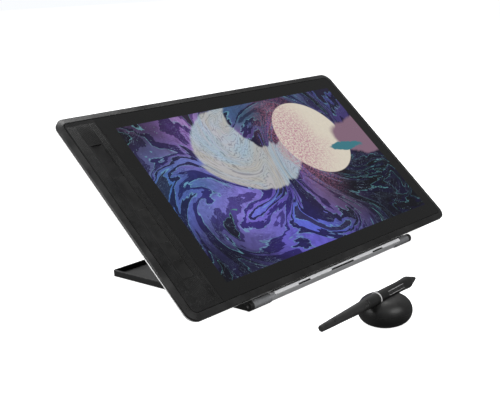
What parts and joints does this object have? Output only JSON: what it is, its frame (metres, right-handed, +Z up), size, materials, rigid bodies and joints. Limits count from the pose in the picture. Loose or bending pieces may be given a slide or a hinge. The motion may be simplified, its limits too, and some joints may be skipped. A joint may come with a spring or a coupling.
{
  "type": "pen display tablet",
  "caption": "Drawing tablet with a built-in screen and a column of keys, leaning on a folding hinged stand, with a pen lying on its round holder",
  "frame": {"origin": "on the table, under the middle of the stand's base", "axes": "+X along the tablet's long edge to the user's right, +Y from the user to the back, +Z up"},
  "size_m": [0.434, 0.3447, 0.1848],
  "materials": {
    "stand_black": "satin black powder coat",
    "stand_grey": "satin black paint",
    "gunmetal": "fine satin anodised",
    "silver_rail": "bead-blasted silver anodised",
    "bright_steel": "polished",
    "spring_steel": "brushed",
    "black_screws": "black oxide",
    "rubber_black": "matt",
    "rim_black": "fine matt",
    "cover_black": "fine textured black anodised, edge cut bright",
    "glass_etched": "etched anti-glare glass over the picture",
    "tape_black": "foam tape",
    "panel_black": "fine ribbed",
    "key_black": "satin",
    "lcd_grey": "display cell",
    "guide_clear": "clear acrylic",
    "sheet_metal": "rolled",
    "board_green": "solder mask",
    "chip_black": "moulded",
    "dome_steel": "stamped",
    "pen_black": "soft-touch rubberised",
    "pen_satin": "satin",
    "ring_silver": "satin chrome",
    "nib_black": "acetal",
    "copper": "enamelled copper wire",
    "holder_black": "satin"
  },
  "bodies": {
    "stand_base": {"base_tray": "stand_black", "base_feet": "rubber_black", "hinge_barrel_left": "gunmetal", "hinge_barrel_right": "gunmetal", "friction_clips": "spring_steel", "pivot_screws": "bright_steel"},
    "stand_plate": {"lip_rail": "silver_rail", "lip_pads": "rubber_black", "lip_liner": "rubber_black", "support_plate": "stand_grey", "plate_pads": "rubber_black", "plate_screws": "black_screws", "hinge_shafts": "spring_steel"},
    "tablet": {"rim_frame": "rim_black", "rear_cover": "cover_black", "case_screws": "black_screws", "rear_feet": "rubber_black", "front_glass": "glass_etched", "glass_tape": "tape_black", "key_panel": "panel_black", "display_panel": "lcd_grey", "light_guide": "guide_clear", "led_strip": "board_green", "backlight_tray": "sheet_metal", "pen_sensor": "board_green", "shield_sheet": "sheet_metal", "main_board": "board_green", "board_chips": "chip_black", "usb_sockets": "spring_steel", "power_switch": "chip_black", "key_board": "board_green", "key_domes": "dome_steel"},
    "power_button": {"power_button": "key_black"},
    "holder_base": {"holder_base": "holder_black", "spare_nibs": "nib_black", "holder_foot": "rubber_black", "nib_puller": "spring_steel"},
    "holder_top": {"holder_top": "holder_black"},
    "pen": {"pen_grip": "pen_black", "pen_ring": "ring_silver", "pen_collar": "pen_black", "pen_tail": "pen_satin", "pen_plug": "pen_satin", "rocker_trim": "ring_silver", "pressure_sensor": "chip_black", "pen_coil": "copper", "pen_board": "board_green", "pen_switches": "chip_black"},
    "pen_rocker": {"pen_rocker": "key_black"},
    "pen_nib": {"pen_nib": "nib_black"},
    "key_1": {"key_1": "key_black"},
    "key_2": {"key_2": "key_black"},
    "key_3": {"key_3": "key_black"},
    "key_4": {"key_4": "key_black"},
    "key_5": {"key_5": "key_black"},
    "key_6": {"key_6": "key_black"},
    "key_7": {"key_7": "key_black"},
    "key_8": {"key_8": "key_black"}
  },
  "joints": [
    {"name": "stand_hinge", "type": "hinge", "parent": "stand_base", "child": "stand_plate", "pos_m": [0, -0.0973, 0.0052], "axis": [1, 0, 0], "range_deg": [-43.7, 36]},
    {"name": "tablet_lift", "type": "slide", "parent": "stand_plate", "child": "tablet", "axis": [0, 0.7228, 0.691], "range_m": [0, 0.2]},
    {"name": "power_press", "type": "slide", "parent": "tablet", "child": "power_button", "axis": [0, -0.723, -0.6909], "range_m": [0, 0.0004], "stiffness_N_per_m": 2500},
    {"name": "holder_slide", "type": "slide", "parent": "stand_base", "child": "holder_base", "axis": [1, 0, 0], "range_m": [-0.06, 0.1]},
    {"name": "holder_twist", "type": "hinge", "parent": "holder_base", "child": "holder_top", "pos_m": [-0.0896, -0.218, 0], "axis": [0, 0, 1], "range_deg": [0, 90]},
    {"name": "pen_lift", "type": "slide", "parent": "holder_top", "child": "pen", "axis": [0, 0, 1], "range_m": [0, 0.15]},
    {"name": "rocker_tilt", "type": "hinge", "parent": "pen", "child": "pen_rocker", "pos_m": [-0.07696, -0.22186, 0.02805], "axis": [-0.0125, 0.3582, 0.9336], "range_deg": [-2, 2], "stiffness_Nm_per_rad": 0.3},
    {"name": "nib_press", "type": "slide", "parent": "pen", "child": "pen_nib", "axis": [-0.9994, -0.0349, 0], "range_m": [0, 0.0004], "stiffness_N_per_m": 1500},
    {"name": "key_1_press", "type": "slide", "parent": "tablet", "child": "key_1", "axis": [0, 0.6909, -0.723], "range_m": [0, 0.0004], "stiffness_N_per_m": 2000},
    {"name": "key_2_press", "type": "slide", "parent": "tablet", "child": "key_2", "axis": [0, 0.6909, -0.723], "range_m": [0, 0.0004], "stiffness_N_per_m": 2000},
    {"name": "key_3_press", "type": "slide", "parent": "tablet", "child": "key_3", "axis": [0, 0.6909, -0.723], "range_m": [0, 0.0004], "stiffness_N_per_m": 2000},
    {"name": "key_4_press", "type": "slide", "parent": "tablet", "child": "key_4", "axis": [0, 0.6909, -0.723], "range_m": [0, 0.0004], "stiffness_N_per_m": 2000},
    {"name": "key_5_press", "type": "slide", "parent": "tablet", "child": "key_5", "axis": [0, 0.6909, -0.723], "range_m": [0, 0.0004], "stiffness_N_per_m": 2000},
    {"name": "key_6_press", "type": "slide", "parent": "tablet", "child": "key_6", "axis": [0, 0.6909, -0.723], "range_m": [0, 0.0004], "stiffness_N_per_m": 2000},
    {"name": "key_7_press", "type": "slide", "parent": "tablet", "child": "key_7", "axis": [0, 0.6909, -0.723], "range_m": [0, 0.0004], "stiffness_N_per_m": 2000},
    {"name": "key_8_press", "type": "slide", "parent": "tablet", "child": "key_8", "axis": [0, 0.6909, -0.723], "range_m": [0, 0.0004], "stiffness_N_per_m": 2000}
  ]
}
